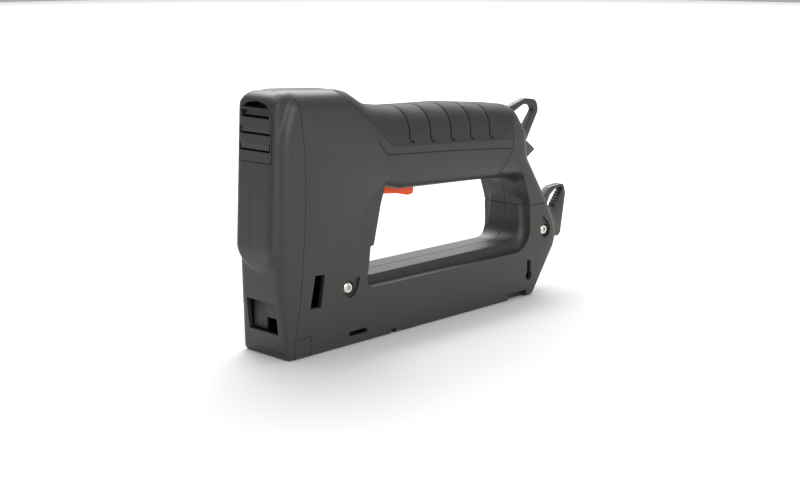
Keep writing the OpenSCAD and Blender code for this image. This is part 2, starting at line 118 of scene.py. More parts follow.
def spot(axis: Axis, along: float, a: float, b: float) -> Vector:
    """Place of a flat outline's point.

    Args:
        axis: The direction square to the outline.
        along: The distance along that direction.
        a: The outline's first coordinate.
        b: The outline's second coordinate.

    Returns:
        The point in space.
    """
    if axis is Axis.X:
        return Vector((along, a, b))
    if axis is Axis.Y:
        return Vector((a, along, b))
    return Vector((a, b, along))


def pick(piece: bpy.types.Object) -> None:
    """Make one object the only one selected and active."""
    bpy.ops.object.select_all(action="DESELECT")
    piece.select_set(True)
    bpy.context.view_layer.objects.active = piece


@contextmanager
def editing(piece: bpy.types.Object) -> Iterator[None]:
    """Hold a piece in edit mode with vertices as the selection.

    Args:
        piece: The mesh object to edit.
    """
    pick(piece)
    bpy.ops.object.mode_set(mode="EDIT")
    bpy.ops.mesh.select_mode(type="VERT")
    yield
    bpy.ops.object.mode_set(mode="OBJECT")


def trace(points: Sequence[Vector], name: str) -> bpy.types.Object:
    """Draw a closed outline corner by corner and fill it.

    Args:
        points: The outline's points in order.
        name: The new object's name.

    Returns:
        A flat piece of one face.
    """
    bpy.ops.object.select_all(action="DESELECT")
    bpy.ops.mesh.primitive_plane_add(size=1.0)
    piece = bpy.context.object
    piece.name = piece.data.name = name
    with editing(piece):
        bpy.ops.mesh.select_all(action="SELECT")
        bpy.ops.mesh.merge(type="CENTER")
        bpy.ops.transform.translate(value=points[0])
        for here, there in pairwise(points):
            bpy.ops.mesh.extrude_vertices_move(TRANSFORM_OT_translate={"value": there - here})
        bpy.ops.mesh.select_all(action="SELECT")
        bpy.ops.mesh.edge_face_add()
    return piece


def loft(rings: Sequence[Sequence[Vector]], name: str) -> bpy.types.Object:
    """Draw the first ring and extrude it through the others.

    Args:
        rings: Rings with the same number of points, in order along the solid.
        name: The new object's name.

    Returns:
        A closed solid whose faces point outwards.
    """
    piece = trace(rings[0], name)
    with editing(piece):
        bpy.ops.mesh.select_all(action="SELECT")
        for before, after in pairwise(rings):
            bpy.ops.mesh.extrude_region_move()
            near = KDTree(len(before))
            for place, point in enumerate(before):
                near.insert(point, place)
            near.balance()
            mesh = bmesh.from_edit_mesh(piece.data)
            for vertex in mesh.verts:
                if vertex.select:
                    vertex.co = after[near.find(vertex.co)[1]]
            bmesh.update_edit_mesh(piece.data)
        bpy.ops.mesh.select_all(action="SELECT")
        bpy.ops.mesh.normals_make_consistent(inside=False)
    return piece


def prism(outline: Sequence[tuple[float, float]], axis: Axis, low: float, high: float,
          name: str = "tool") -> bpy.types.Object:
    """Extrude a flat outline between two places.

    Args:
        outline: The outline's points as pairs of coordinates.
        axis: The direction of the extrusion.
        low: Where it starts.
        high: Where it ends.
        name: The new object's name.

    Returns:
        The closed solid.
    """
    return loft([[spot(axis, along, a, b) for a, b in outline] for along in (low, high)], name)


def slab(x: tuple[float, float], y: tuple[float, float], z: tuple[float, float],
         name: str = "tool") -> bpy.types.Object:
    """Rectangular tool solid between the given limits along each axis."""
    corners = [(x[0], z[0]), (x[1], z[0]), (x[1], z[1]), (x[0], z[1])]
    return prism(corners, Axis.Y, y[0], y[1], name)


def disc(x: float, z: float, radius: float, sides: int = 32) -> list[tuple[float, float]]:
    """Points of a circle seen from the side, as pairs of x and z."""
    turns = [2 * math.pi * side / sides for side in range(sides)]
    return [(x + radius * math.cos(turn), z + radius * math.sin(turn)) for turn in turns]


def finish_with(piece: bpy.types.Object, kind: str, **settings: object) -> None:
    """Add one modifier to a piece and apply it.

    Args:
        piece: The piece to work on.
        kind: The modifier's type.
        **settings: The modifier's settings by name.
    """
    pick(piece)
    step = piece.modifiers.new(kind.lower(), kind)
    for name, value in settings.items():
        setattr(step, name, value)
    bpy.ops.object.modifier_apply(modifier=step.name)


def carve(piece: bpy.types.Object, tool: bpy.types.Object, way: Way) -> None:
    """Join, take away or keep the part of a piece that a tool solid covers.

    Args:
        piece: The piece to work on.
        tool: The solid that acts on it, used up here.
        way: How it acts.
    """
    finish_with(piece, "BOOLEAN", operation=way.value, object=tool, solver="EXACT")
    bpy.data.objects.remove(tool)


def take(piece: bpy.types.Object, *tools: bpy.types.Object) -> None:
    """Take several tool solids away from a piece."""
    for tool in tools:
        carve(piece, tool, Way.TAKE)


def copy_of(piece: bpy.types.Object, name: str) -> bpy.types.Object:
    """Copy of a piece with a mesh of its own."""
    twin = piece.copy()
    twin.data = piece.data.copy()
    twin.name = twin.data.name = name
    bpy.context.scene.collection.objects.link(twin)
    return twin


def mirrored(piece: bpy.types.Object, name: str) -> bpy.types.Object:
    """Copy of a piece on the other side of the tool's middle plane.

    Args:
        piece: The piece to copy.
        name: The copy's name.

    Returns:
        The mirrored piece with its faces pointing outwards.
    """
    twin = copy_of(piece, name)
    pick(twin)
    twin.scale.y = -1.0
    bpy.ops.object.transform_apply(location=True, rotation=True, scale=True)
    with editing(twin):
        bpy.ops.mesh.select_all(action="SELECT")
        bpy.ops.mesh.normals_make_consistent(inside=False)
    return twin


def soften(piece: bpy.types.Object, width: float, segments: int = 2, angle: float = 40.0) -> None:
    """Round a piece's sharp edges.

    Args:
        piece: The piece to work on.
        width: The width of the rounding in millimetres.
        segments: The number of faces across it.
        angle: The least angle between faces, in degrees, that counts as sharp.
    """
    finish_with(piece, "BEVEL", width=width, segments=segments, limit_method="ANGLE",
                angle_limit=math.radians(angle), use_clamp_overlap=True, harden_normals=False)


def clean(piece: bpy.types.Object, reach: float = 0.004) -> None:
    """Merge a piece's doubled vertices and dissolve what has no area."""
    with editing(piece):
        bpy.ops.mesh.select_all(action="SELECT")
        bpy.ops.mesh.remove_doubles(threshold=reach)
        bpy.ops.mesh.dissolve_degenerate(threshold=reach)


def curve_through(points: Sequence[tuple[float, float]], steps: int = 5) -> list[tuple[float, float]]:
    """Smooth open curve through the given points.

    Args:
        points: The points that the curve passes through.
        steps: The number of parts between two of them.

    Returns:
        The points of the curve, the ends included.
    """
    padded = [points[0], *points, points[-1]]
    made: list[tuple[float, float]] = []
    for place in range(len(points) - 1):
        before, start, end, after = padded[place:place + 4]
        for step in range(steps):
            t = step / steps
            made.append(tuple(
                0.5 * (2 * start[i] + (end[i] - before[i]) * t
                       + (2 * before[i] - 5 * start[i] + 4 * end[i] - after[i]) * t * t
                       + (3 * start[i] - before[i] - 3 * end[i] + after[i]) * t ** 3)
                for i in (0, 1)))
    return [*made, points[-1]]


def ribbon(path: Sequence[tuple[float, float]], width: float) -> list[tuple[float, float]]:
    """Outline of a narrow strip that follows a path.

    Args:
        path: The points along the middle of the strip.
        width: The strip's width.

    Returns:
        The points round the strip.
    """
    left: list[tuple[float, float]] = []
    right: list[tuple[float, float]] = []
    for place, (x, z) in enumerate(path):
        ahead = path[min(place + 1, len(path) - 1)]
        behind = path[max(place - 1, 0)]
        along = Vector((ahead[0] - behind[0], ahead[1] - behind[1])).normalized() * width / 2
        left.append((x - along.y, z + along.x))
        right.append((x + along.y, z - along.x))
    return [*left, *reversed(right)]


@dataclass(frozen=True)
class Corner:
    """One corner of a side outline.

    Attributes:
        x: Distance behind the nose face.
        z: Height.
        turn: Radius of the corner in the outline.
        edge: Radius, or depth of the flare, of the long edge at the corner.
    """

    x: float
    z: float
    turn: float
    edge: float = 0.0


@dataclass(frozen=True)
class Bead:
    """One point of a rounded outline with its inward direction and edge radius."""

    place: Vector
    inward: Vector
    edge: float


@dataclass(frozen=True)
class Outline:
    """Closed outline with rounded corners, anticlockwise with x to the right.

    Attributes:
        corners: The corners in order.
        steps: The number of parts in each rounded corner.
    """

    corners: tuple[Corner, ...]
    steps: int = 7

    def inset(self, margin: float) -> "Outline":
        """Outline drawn in by a margin, with the same number of points.

        Args:
            margin: The distance, which grows the outline where it is negative.

        Returns:
            The new outline.
        """
        made = []
        count = len(self.corners)
        for place, corner in enumerate(self.corners):
            here = Vector((corner.x, corner.z))
            before = self.corners[place - 1]
            after = self.corners[(place + 1) % count]
            come = (here - Vector((before.x, before.z))).normalized()
            leave = (Vector((after.x, after.z)) - here).normalized()
            side = (Vector((-come.y, come.x)) + Vector((-leave.y, leave.x))) / 2
            bends_out = come.x * leave.y - come.y * leave.x > 0
            moved = here + side * (margin / max(side.length_squared, 0.2))
            radius = corner.turn - margin if bends_out else corner.turn + margin
            made.append(Corner(moved.x, moved.y, max(radius, 0.3), max(corner.edge - margin, 0.3)))
        return Outline(tuple(made), self.steps)

    def beads(self) -> list[Bead]:
        """Points round the outline with their inward directions."""
        made = []
        count = len(self.corners)
        for place, corner in enumerate(self.corners):
            here = Vector((corner.x, corner.z))
            before = self.corners[place - 1]
            after = self.corners[(place + 1) % count]
            back = Vector((before.x, before.z)) - here
            ahead = Vector((after.x, after.z)) - here
            come, leave = -back.normalized(), ahead.normalized()
            bend = math.atan2(come.x * leave.y - come.y * leave.x, come.dot(leave))
            reach = corner.turn * math.tan(abs(bend) / 2)
            limit = 0.49 * min(back.length, ahead.length)
            radius = corner.turn * min(1.0, limit / max(reach, 1e-6))
            start = here - come * min(reach, limit)
            first = Vector((-come.y, come.x))
            centre = start + first * math.copysign(radius, bend)
            for step in range(self.steps + 1):
                turn = bend * step / self.steps
                inward = Vector((first.x * math.cos(turn) - first.y * math.sin(turn),
                                 first.x * math.sin(turn) + first.y * math.cos(turn)))
                made.append(Bead(centre - inward * math.copysign(radius, bend), inward, corner.edge))
        return made


# ---------------------------------------------------------------- shared form


@dataclass
class BodyForm:
    """Outer form that the mouldings share: side outline, finger opening and parting lines."""

    half: float = 18.0
    wall: float = 2.4
    grip: float = 3.0
    rounds: int = 6
    groove: float = 0.28
    body: Outline = Outline((
        Corner(0.4, 0.0, 2.2, 1.6), Corner(196.6, 0.0, 4.5, 1.8), Corner(225.4, 32.0, 20.0, 6.5),
        Corner(214.0, 55.0, 40.0, 7.0), Corner(193.6, 86.0, 9.5, 8.0), Corner(193.4, 100.0, 14.0, 9.0),
        Corner(184.0, 116.8, 15.0, 12.0), Corner(130.0, 121.8, 80.0, 14.0),
        Corner(84.0, 123.0, 60.0, 14.0), Corner(64.0, 125.6, 26.0, 13.0),
        Corner(46.0, 134.6, 18.0, 10.5), Corner(2.5, 136.8, 12.0, 10.0),
        Corner(-3.2, 112.0, 60.0, 8.0), Corner(-3.4, 46.0, 30.0, 6.5), Corner(-2.4, 26.0, 40.0, 5.5)))
    rim: Outline = Outline((
        Corner(58.8, 51.2, 0.6, 2.0), Corner(57.6, 41.4, 3.0, 2.0), Corner(60.4, 34.0, 6.0, 6.0),
        Corner(189.6, 34.1, 21.0, 6.0), Corner(190.4, 58.0, 30.0, 7.0), Corner(188.4, 72.8, 15.0, 8.0),
        Corner(150.0, 75.6, 60.0, 8.0), Corner(86.0, 78.0, 20.0, 8.0), Corner(70.2, 81.8, 3.0, 6.0),
        Corner(66.4, 72.8, 30.0, 2.0), Corner(61.2, 51.6, 0.8, 2.0)))
    flare: Outline = Outline((
        Corner(58.4, 51.2, 0.6), Corner(57.2, 41.4, 3.0), Corner(54.6, 28.8, 6.0),
        Corner(194.0, 28.4, 24.0), Corner(192.8, 57.0, 16.0), Corner(184.5, 79.5, 10.0),
        Corner(150.0, 83.6, 60.0), Corner(84.0, 86.2, 20.0), Corner(71.4, 88.0, 3.0),
        Corner(66.0, 72.8, 30.0), Corner(60.8, 51.6, 0.8)))
    scoops: tuple[float, ...] = (0.0, 0.0, 1.0, 1.0, 1.0, 0.3, 0.0, 0.0, 0.0, 0.0, 0.0)
    seam: tuple[tuple[float, float], ...] = (
        (3.9, -3.0), (4.6, 8.8), (5.9, 16.5), (8.9, 33.7), (11.8, 62.7), (12.9, 80.0), (13.0, 95.0),
        (12.6, 107.3), (10.8, 123.9), (10.0, 128.6), (8.6, 132.7), (6.6, 135.2), (3.6, 136.7), (1.2, 139.0))
    grip_side: tuple[tuple[float, float], ...] = (
        (30.0, 139.0), (42.8, 129.4), (61.2, 115.6), (73.5, 105.0), (76.5, 102.8), (176.0, 97.4),
        (176.0, 112.0), (174.6, 126.0), (120.0, 139.0))
    grip_middle: tuple[tuple[float, float], ...] = (
        (39.0, 139.0), (50.6, 129.4), (68.2, 115.6), (79.0, 105.0), (82.0, 102.8), (176.0, 97.4),
        (176.0, 112.0), (174.6, 126.0), (120.0, 139.0))

    def solid(self, margin: float, name: str, halved: bool = False) -> bpy.types.Object:
        """Body without its finger opening.

        Args:
            margin: How far the form is drawn in all round.
            name: The new object's name.
            halved: Whether only the side at negative y is made, with a parting groove.

        Returns:
            The closed solid.
        """
        beads = self.body.inset(margin).beads()
        side = self.half - margin
        turns = [math.pi / 2 * step / self.rounds for step in range(self.rounds + 1)]
        near = [[self._at(bead, bead.edge * (1 - math.sin(turn)),
                          -side + bead.edge * (1 - math.cos(turn))) for bead in beads]
                for turn in turns]
        if halved:
            near.append([self._at(bead, 0.0, -self.groove) for bead in beads])
            near.append([self._at(bead, self.groove, -0.02) for bead in beads])
            return loft(near, name)
        far = [[Vector((point.x, -point.y, point.z)) for point in ring] for ring in reversed(near)]
        return loft([*near, *far], name)

    @staticmethod
    def _at(bead: Bead, inset: float, y: float) -> Vector:
        """Point of a bead drawn in by a distance, at a place across the tool."""
        flat = bead.place + bead.inward * inset
        return Vector((flat.x, y, flat.y))

    def opening(self, margin: float) -> bpy.types.Object:
        """Tool solid of the finger opening, flared towards both sides.

        Args:
            margin: How far it is grown all round.

        Returns:
            The closed solid, which runs past both sides of the body.
        """
        rim = self.rim.inset(-margin).beads()
        flare = self.flare.inset(-margin).beads()
        scoops = [scoop for scoop in self.scoops for _ in range(self.rim.steps + 1)]
        past = self.half + 1.5
        near = [[Vector((bead.place.x, -past, bead.place.y)) for bead in flare]]
        for step in range(self.rounds + 1):
            part = step / self.rounds
            ring = []
            for inner, outer, scoop in zip(rim, flare, scoops):
                hollow = math.sqrt(1 - part * part)
                round_over = 1 - math.sqrt(1 - (1 - part) ** 2)
                share = scoop * hollow + (1 - scoop) * round_over
                flat = inner.place.lerp(outer.place, share)
                depth = (inner.edge - margin * 0.5) * part
                ring.append(Vector((flat.x, -self.half + depth, flat.y)))
            near.append(ring)
        near.append([self._at(bead, 0.0, -self.groove) for bead in rim])
        far = [[Vector((point.x, -point.y, point.z)) for point in ring] for ring in reversed(near)]
        middle = [self._at(bead, -self.groove, 0.0) for bead in rim]
        return loft([*near, middle, *far], "opening")

    def whole(self, margin: float, name: str) -> bpy.types.Object:
        """Body with its finger opening, drawn in by a margin."""
        piece = self.solid(margin, name)
        take(piece, self.opening(margin))
        return piece

    def seam_tool(self, gap: float, front: bool) -> bpy.types.Object:
        """Tool solid on one side of the seam behind the front cover.

        Args:
            gap: How far the solid stays off the seam.
            front: Whether it is the side towards the nose.

        Returns:
            The closed solid, wider and taller than the body.
        """
        shift = -gap if front else gap
        edge = [(x + shift, z) for x, z in curve_through(self.seam)]
        end = -30.0 if front else 270.0
        outline = [*edge, (end, 150.0), (end, -10.0)]
        outline[0] = (outline[0][0], -10.0)
        outline[len(edge) - 1] = (edge[-1][0], 150.0)
        return prism(outline, Axis.Y, -40.0, 40.0)

    def grip_tool(self, grow: float) -> bpy.types.Object:
        """Tool solid of the area under the soft grip, swept back towards the middle.

        Args:
            grow: How far it is grown along and down the tool.

        Returns:
            The closed solid, which runs past both sides.
        """
        rings = []
        for y, outline in ((-40.0, self.grip_side), (-self.half, self.grip_side),
                           (0.0, self.grip_middle), (self.half, self.grip_side),
                           (40.0, self.grip_side)):
            centre = Vector((120.0, 118.0))
            ring = []
            for x, z in outline:
                away = (Vector((x, z)) - centre).normalized() * grow
                ring.append(Vector((x + away.x, y, z + away.y)))
            rings.append(ring)
        return loft(rings, "grip_area")

    def hollow(self) -> bpy.types.Object:
        """Space inside the shells, with a wall left under the soft grip."""
        space = self.whole(self.wall, "hollow")
        carve(space, self.grip_tool(self.wall), Way.TAKE)
        carve(space, self.whole(self.wall + self.grip, "deep_hollow"), Way.JOIN)
        return space


# ---------------------------------------------------------------- shader tools


class Wire:
    """A shader socket that arithmetic can be written on."""

    def __init__(self, paint: "Paint", socket: bpy.types.NodeSocket) -> None:
        """Keep the socket and the material that it belongs to."""
        self.paint = paint
        self.socket = socket

    def __add__(self, other: "Wire | float") -> "Wire":
        """Sum with another wire or number."""
        return self.paint.maths("ADD", self, other)

    __radd__ = __add__

    def __sub__(self, other: "Wire | float") -> "Wire":
        """Difference from another wire or number."""
        return self.paint.maths("SUBTRACT", self, other)

    def __rsub__(self, other: float) -> "Wire":
        """Difference of a number and this wire."""
        return self.paint.maths("SUBTRACT", other, self)

    def __mul__(self, other: "Wire | float") -> "Wire":
        """Product with another wire or number."""
        return self.paint.maths("MULTIPLY", self, other)

    __rmul__ = __mul__


Value = Wire | float | int | tuple | Vector


class Paint:
    """A node material under construction."""

    def __init__(self, name: str) -> None:
        """Start an empty material.

        Args:
            name: The material's name.
        """
        self.material = bpy.data.materials.new(name)
        self.material.use_nodes = True
        self.tree = self.material.node_tree
        self.tree.nodes.clear()
        self.place = self.wire("ShaderNodeTexCoord", output="Object")

    def wire(self, kind: str, settings: dict[str, object] | None = None,
             inputs: dict[str | int, Value] | None = None, output: str | int = 0) -> Wire:
        """Add one node.

        Args:
            kind: The node's type.
            settings: The node's settings, made first.
            inputs: Values or links of its sockets, by name or number.
            output: The socket to return.

        Returns:
            The wire from the node's output.
        """
        node = self.tree.nodes.new(kind)
        for name, value in (settings or {}).items():
            setattr(node, name, value)
        for name, value in (inputs or {}).items():
            if isinstance(value, Wire):
                self.tree.links.new(value.socket, node.inputs[name])
            else:
                node.inputs[name].default_value = value
        return Wire(self, node.outputs[output])

    def maths(self, operation: str, first: Value, second: Value) -> Wire:
        """Arithmetic on two numbers or wires."""
        return self.wire("ShaderNodeMath", {"operation": operation}, {0: first, 1: second})

    def noise(self, scale: float, detail: float = 3.0, roughness: float = 0.55,
              at: Wire | None = None) -> Wire:
        """Noise on the piece's own coordinates.

        Args:
            scale: Repeats to the metre.
            detail: The number of finer layers.
            roughness: The strength of the finer layers.
            at: Coordinates to use in place of the plain ones.

        Returns:
            The noise, about 0.5 on average.
        """
        return self.wire("ShaderNodeTexNoise", None,
                         {"Vector": at or self.place, "Scale": scale, "Detail": detail,
                          "Roughness": roughness}, "Fac")

    def stretched(self, scale: tuple[float, float, float]) -> Wire:
        """Object coordinates stretched along the axes."""
        return self.wire("ShaderNodeMapping", None, {"Vector": self.place, "Scale": scale})

    def band(self, value: Wire, low: float, high: float) -> Wire:
        """Smooth step of a value between two levels."""
        return self.wire("ShaderNodeMapRange", {"interpolation_type": "SMOOTHSTEP"},
                         {"Value": value, "From Min": low, "From Max": high})

    def blend(self, share: Value, first: Value, second: Value) -> Wire:
        """Mix of two colours."""
        node = self.tree.nodes.new("ShaderNodeMix")
        node.data_type = "RGBA"
        for socket, value in ((node.inputs[0], share), (node.inputs[6], first),
                              (node.inputs[7], second)):
            if isinstance(value, Wire):
                self.tree.links.new(value.socket, socket)
            else:
                socket.default_value = value
        return Wire(self, node.outputs[2])

    def surface(self, colour: Value, roughness: Value, height: Wire | None = None,
                relief: float = 0.0, **fixed: float) -> bpy.types.Material:
        """Close the material with its surface shader.

        Args:
            colour: The base colour.
            roughness: The roughness.
            height: The height of the surface's relief.
            relief: The relief's depth in metres.
            **fixed: Other sockets of the shader, with underscores for spaces.

        Returns:
            The finished material.
        """
        inputs: dict[str | int, Value] = {"Base Color": colour, "Roughness": roughness}
        if height is not None:
            inputs["Normal"] = self.wire("ShaderNodeBump", None,
                                         {"Height": height, "Distance": relief, "Strength": 1.0})
        inputs.update({name.replace("_", " "): value for name, value in fixed.items()})
        shader = self.wire("ShaderNodeBsdfPrincipled", None, inputs)
        out = self.tree.nodes.new("ShaderNodeOutputMaterial")
        self.tree.links.new(shader.socket, out.inputs[0])
        return self.material


def tone(red: float, green: float, blue: float) -> tuple[float, float, float, float]:
    """Linear colour of a screen colour whose channels run from 0 to 255."""
    def linear(channel: float) -> float:
        """Linear light of one channel."""
        share = channel / 255
        return share / 12.92 if share <= 0.04045 else ((share + 0.055) / 1.055) ** 2.4
    return (linear(red), linear(green), linear(blue), 1.0)


def scaled(colour: tuple[float, ...], factor: float) -> tuple[float, ...]:
    """Colour made lighter or darker by a factor."""
    return (*(channel * factor for channel in colour[:3]), 1.0)


# ---------------------------------------------------------------- finishes


@dataclass(frozen=True)
class MouldedPlastic:
    """Spark-textured moulded plastic with handling marks.

    Attributes:
        name: The material's name.
        colour: The plastic's colour.
        roughness: The mean roughness.
        grain: Depth of the moulded grain in metres.
        gloss: The shader's specular level.
    """

    name: str
    colour: tuple[float, float, float, float]
    roughness: float = 0.46
    grain: float = 0.00003
    gloss: float = 0.45

    def make(self) -> bpy.types.Material:
        """Build the material."""
        paint = Paint(self.name)
        fine = paint.noise(2600.0, 2.0)
        coarse = paint.noise(900.0, 2.0)
        cloud = paint.noise(22.0, 3.0)
        rub = paint.band(paint.noise(60.0, 5.0, 0.7), 0.58, 0.74)
        scratches = paint.band(paint.noise(1.0, 2.0, 0.6, paint.stretched((90.0, 400.0, 1500.0))),
                               0.66, 0.74)
        colour = paint.blend(cloud, scaled(self.colour, 0.93), scaled(self.colour, 1.07))
        colour = paint.blend(rub * 0.28, colour, scaled(self.colour, 1.22))
        colour = paint.blend(scratches * 0.16, colour, scaled(self.colour, 1.5))
        roughness = self.roughness + 0.08 * (fine - 0.5) + 0.10 * (cloud - 0.5) - 0.07 * rub
        return paint.surface(colour, roughness, fine * 0.7 + coarse * 0.6, self.grain,
                             Specular_IOR_Level=self.gloss)


@dataclass(frozen=True)
class SoftRubber:
    """Matt over-moulded rubber with a pebbled skin and lighter dusty patches."""

    name: str
    colour: tuple[float, float, float, float]

    def make(self) -> bpy.types.Material:
        """Build the material."""
        paint = Paint(self.name)
        pebble = paint.wire("ShaderNodeTexVoronoi", {"feature": "SMOOTH_F1"},
                            {"Vector": paint.place, "Scale": 1500.0, "Smoothness": 0.6}, "Distance")
        cloud = paint.noise(35.0, 4.0)
        dust = paint.band(paint.noise(140.0, 5.0, 0.75), 0.60, 0.80)
        colour = paint.blend(cloud, scaled(self.colour, 0.88), scaled(self.colour, 1.1))
        colour = paint.blend(dust * 0.22, colour, scaled(self.colour, 1.6))
        roughness = 0.62 + 0.12 * (cloud - 0.5) + 0.06 * pebble
        return paint.surface(colour, roughness, pebble * -1.0 + 0.4 * cloud, 0.00005)


@dataclass(frozen=True)
class BareMetal:
    """Drawn or ground metal with fine lines, stains and a few marks.

    Attributes:
        name: The material's name.
        colour: The metal's colour.
        roughness: The mean roughness.
        lines: Stretch of the grinding lines along each axis.
    """

    name: str
    colour: tuple[float, float, float, float]
    roughness: float = 0.3
    lines: tuple[float, float, float] = (60.0, 2600.0, 2600.0)

    def make(self) -> bpy.types.Material:
        """Build the material."""
        paint = Paint(self.name)
        grind = paint.noise(1.0, 3.0, 0.6, paint.stretched(self.lines))
        stain = paint.noise(70.0, 4.0, 0.6)
        pits = paint.band(paint.noise(700.0, 3.0), 0.66, 0.78)
        colour = paint.blend(stain, scaled(self.colour, 0.82), scaled(self.colour, 1.05))
        colour = paint.blend(pits * 0.5, colour, scaled(self.colour, 0.45))
        roughness = self.roughness + 0.16 * (grind - 0.5) + 0.14 * (stain - 0.5)
        return paint.surface(colour, roughness, grind * 0.6 - pits * 0.5, 0.00003, Metallic=1.0)


@dataclass(frozen=True)
class WoundWire:
    """Enamelled copper wire wound in turns round an upright bobbin, with painted shade between the turns.
    """

    name: str
    colour: tuple[float, float, float, float]
    pitch: float = 0.0006

    def make(self) -> bpy.types.Material:
        """Build the material."""
        paint = Paint(self.name)
        turns = paint.wire("ShaderNodeTexWave", {"wave_type": "BANDS", "bands_direction": "Z",
                                                 "wave_profile": "SIN"},
                           {"Vector": paint.place, "Scale": 0.314 / self.pitch, "Distortion": 0.4}, "Fac")
        stain = paint.noise(120.0, 4.0)
        # Painted shade: the copper is darkened to 0.35 of its colour in the bands between turns, where the
        # grooves between the wires lie in shade.
        colour = paint.blend(turns, scaled(self.colour, 0.35), self.colour)
        colour = paint.blend(stain * 0.4, colour, scaled(self.colour, 0.6))
        return paint.surface(colour, 0.34 + 0.2 * (stain - 0.5), turns, 0.0002, Metallic=0.9)


@dataclass(frozen=True)
class PrintedBoard:
    """Solder-masked board with faint tracks and a few pads."""

    name: str
    colour: tuple[float, float, float, float]

    def make(self) -> bpy.types.Material:
        """Build the material."""
        paint = Paint(self.name)
        cells = paint.wire("ShaderNodeTexVoronoi", {"distance": "MANHATTAN"},
                           {"Vector": paint.place, "Scale": 420.0}, "Distance")
        tracks = paint.band(cells, 0.42, 0.5)
        pads = 1.0 - paint.band(cells, 0.08, 0.12)
        colour = paint.blend(tracks, self.colour, scaled(self.colour, 1.7))
        colour = paint.blend(pads, colour, tone(176, 172, 150))
        roughness = 0.38 - 0.12 * pads + 0.1 * paint.noise(500.0)
        return paint.surface(colour, roughness, tracks * 0.5 + pads, 0.00006)


@dataclass(frozen=True)
class PrintedSleeve:
    """Shrunk plastic sleeve with slight wrinkles, on a cell or a capacitor."""

    name: str
    colour: tuple[float, float, float, float]

    def make(self) -> bpy.types.Material:
        """Build the material."""
        paint = Paint(self.name)
        wrinkle = paint.noise(1.0, 3.0, 0.5, paint.stretched((120.0, 700.0, 700.0)))
        cloud = paint.noise(80.0, 3.0)
        colour = paint.blend(cloud, scaled(self.colour, 0.85), scaled(self.colour, 1.12))
        return paint.surface(colour, 0.3 + 0.16 * (cloud - 0.5), wrinkle, 0.0001)


Finish = MouldedPlastic | SoftRubber | BareMetal | WoundWire | PrintedBoard | PrintedSleeve


class Slot(Enum):
    """Material slots of the record that the pieces take their finishes from."""

    SHELL = "shell_plastic"
    GRIP = "grip_rubber"
    TRIGGER = "trigger_plastic"
    BLACK = "black_plastic"
    STEEL = "steel"
    BLACKENED = "blackened_steel"
    BRIGHT = "bright_steel"
    COPPER = "copper_winding"
    BOBBIN = "bobbin_plastic"
    CELL = "cell_wrap"
    BOARD = "board_green"
    SLEEVE = "capacitor_sleeve"


@dataclass
class FinishBook:
    """Finish of each material slot, made once and shared.

    Attributes:
        finishes: The finish of each slot.
        made: The materials built so far.
    """

    finishes: dict[Slot, Finish] = field(default_factory=lambda: {
        Slot.SHELL: MouldedPlastic("graphite_moulding", tone(52, 51, 49), 0.42),
        Slot.GRIP: SoftRubber("grip_skin", tone(42, 41, 39)),
        Slot.TRIGGER: MouldedPlastic("orange_moulding", tone(232, 80, 20), 0.4, 0.00002, 0.3),
        Slot.BLACK: MouldedPlastic("black_nylon", tone(28, 28, 29), 0.5),
        Slot.BLACKENED: BareMetal("blackened_plate", tone(40, 40, 42), 0.45),
        Slot.STEEL: BareMetal("plated_steel", tone(168, 168, 170), 0.34),
        Slot.BRIGHT: BareMetal("zinc_bright", tone(222, 220, 210), 0.24, (900.0, 900.0, 900.0)),
        Slot.COPPER: WoundWire("enamelled_winding", tone(196, 112, 62)),
        Slot.BOBBIN: MouldedPlastic("natural_nylon", tone(204, 198, 178), 0.5),
        Slot.CELL: PrintedSleeve("cell_sleeve", tone(58, 108, 150)),
        Slot.BOARD: PrintedBoard("control_board_mask", tone(38, 98, 62)),
        Slot.SLEEVE: PrintedSleeve("capacitor_film", tone(40, 56, 98)),
    })
    made: dict[Slot, bpy.types.Material] = field(default_factory=dict)

    def material(self, slot: Slot) -> bpy.types.Material:
        """Material of a slot, built when first asked for."""
        if slot not in self.made:
            self.made[slot] = self.finishes[slot].make()
        return self.made[slot]

    def dress(self, piece: bpy.types.Object, slot: Slot) -> None:
        """Give a piece one finish all over.

        Args:
            piece: The piece, new or carried over from the frame.
            slot: The slot whose finish it takes.
        """
        piece.data.materials.clear()
        piece.data.materials.append(self.material(slot))


@dataclass
class Workshop:
    """What every sub-assembly needs: the frame, the finishes and the place of the nose face.

    Attributes:
        finishes: The shared finishes.
        nose_x: Place of the nose face along x, in metres.
        form: The form that the mouldings share.
    """

    frame: dict
    finishes: FinishBook
    nose_x: float
    form: BodyForm

    def settle(self, piece: bpy.types.Object, slot: Slot, body: str, *nodes: str,
               smooth: float = 32.0) -> None:
        """Bring a finished piece into the frame, dress it and let it ride.

        Args:
            piece: The piece, drawn in millimetres from the nose face.
            slot: The slot that it takes its finish from.
            body: The body that it moves with.
            *nodes: The nodes that it stands for.
            smooth: The angle in degrees up to which faces are shaded as one surface.
        """
        pick(piece)
        piece.scale = (MM, MM, MM)
        piece.location = (self.nose_x, 0.0, 0.0)
        bpy.ops.object.transform_apply(location=True, rotation=True, scale=True)
        bpy.ops.object.shade_smooth_by_angle(angle=math.radians(smooth))
        self.finishes.dress(piece, slot)
        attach(piece, body)
        if nodes:
            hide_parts(*nodes)
        faces = len(piece.data.polygons)
        log.info("%s: %d faces, on %s, for %s", piece.name, faces, body, ", ".join(nodes) or "-")


# ---------------------------------------------------------------- sub-assemblies


